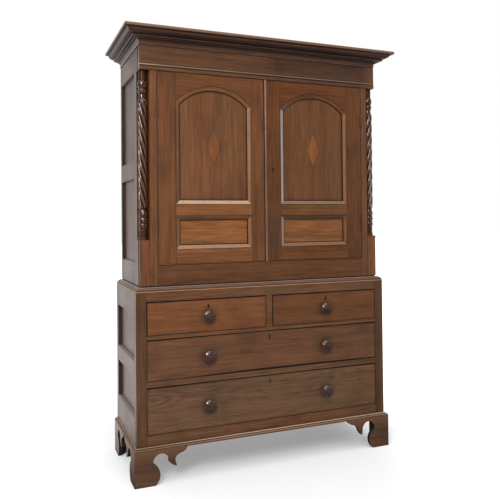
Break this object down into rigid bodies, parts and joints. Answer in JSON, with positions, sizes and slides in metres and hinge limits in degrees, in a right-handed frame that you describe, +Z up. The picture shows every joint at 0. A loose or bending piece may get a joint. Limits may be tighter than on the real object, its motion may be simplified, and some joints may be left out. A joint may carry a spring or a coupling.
{
  "type": "two-part cupboard (linen press)",
  "caption": "Oak cupboard on a chest of drawers, with arched-panel doors, diamond inlays, twisted corner columns and pierced bracket feet",
  "frame": {"origin": "middle of the bounding box on the floor", "axes": "+Z up; the doors and drawers face -Y; +X is to the right of someone who looks at the front"},
  "size_m": [1.41, 0.552, 2.0627],
  "materials": {
    "oak": "waxed",
    "turned_wood": "polished",
    "pale_inlay": "waxed",
    "lining_wood": "bare",
    "brass": "dull",
    "iron": "dull"
  },
  "bodies": {
    "lower_case": {"foot_front_left": "oak", "foot_front_right": "oak", "foot_rear_left": "oak", "foot_rear_right": "oak", "base_board": "oak", "lower_side_left": "oak", "lower_side_right": "oak", "lower_front_frame": "oak", "waist_top_board": "oak", "lower_back": "lining_wood", "dust_board_bottom": "lining_wood", "dust_board_middle": "lining_wood", "dust_board_upper": "lining_wood"},
    "drawer_short_left": {"drawer_short_left_front": "oak", "drawer_short_left_box": "lining_wood", "drawer_short_left_knob": "turned_wood"},
    "drawer_short_right": {"drawer_short_right_front": "oak", "drawer_short_right_box": "lining_wood", "drawer_short_right_knob": "turned_wood"},
    "drawer_middle": {"drawer_middle_front": "oak", "drawer_middle_box": "lining_wood", "drawer_middle_knob_left": "turned_wood", "drawer_middle_knob_right": "turned_wood"},
    "drawer_bottom": {"drawer_bottom_front": "oak", "drawer_bottom_box": "lining_wood", "drawer_bottom_knob_left": "turned_wood", "drawer_bottom_knob_right": "turned_wood"},
    "upper_case": {"upper_side_left": "oak", "upper_side_right": "oak", "upper_front_frame": "oak", "corner_block_left": "oak", "corner_block_right": "oak", "frieze": "oak", "cornice": "oak", "column_left": "turned_wood", "column_right": "turned_wood", "upper_floor": "lining_wood", "upper_ceiling": "lining_wood", "shelf_lower": "lining_wood", "shelf_upper": "lining_wood", "upper_back": "lining_wood", "hinge_case_leaf_left_top": "brass", "hinge_case_leaf_left_bottom": "brass", "hinge_case_leaf_right_top": "brass", "hinge_case_leaf_right_bottom": "brass"},
    "door_left": {"door_left_frame": "oak", "door_left_arched_panel": "oak", "door_left_oblong_panel": "oak", "door_left_inlay": "pale_inlay", "hinge_door_leaf_left_top": "brass", "hinge_door_leaf_left_bottom": "brass"},
    "door_right": {"door_right_frame": "oak", "door_right_arched_panel": "oak", "door_right_oblong_panel": "oak", "door_right_inlay": "pale_inlay", "hinge_door_leaf_right_top": "brass", "hinge_door_leaf_right_bottom": "brass", "door_right_bead": "oak", "door_lock": "iron"}
  },
  "joints": [
    {"name": "drawer_short_left_slide", "type": "slide", "parent": "lower_case", "child": "drawer_short_left", "axis": [0, -1, 0], "range_m": [0, 0.36]},
    {"name": "drawer_short_right_slide", "type": "slide", "parent": "lower_case", "child": "drawer_short_right", "axis": [0, -1, 0], "range_m": [0, 0.36]},
    {"name": "drawer_middle_slide", "type": "slide", "parent": "lower_case", "child": "drawer_middle", "axis": [0, -1, 0], "range_m": [0, 0.36]},
    {"name": "drawer_bottom_slide", "type": "slide", "parent": "lower_case", "child": "drawer_bottom", "axis": [0, -1, 0], "range_m": [0, 0.36]},
    {"name": "upper_case_lift", "type": "slide", "parent": "lower_case", "child": "upper_case", "axis": [0, 0, 1], "range_m": [0, 0.1]},
    {"name": "door_left_hinge", "type": "hinge", "parent": "upper_case", "child": "door_left", "pos_m": [-0.54525, -0.1993, 0.9792], "axis": [0, 0, -1], "range_deg": [0, 170]},
    {"name": "door_right_hinge", "type": "hinge", "parent": "upper_case", "child": "door_right", "pos_m": [0.54525, -0.1993, 0.9792], "axis": [0, 0, 1], "range_deg": [0, 170]}
  ]
}
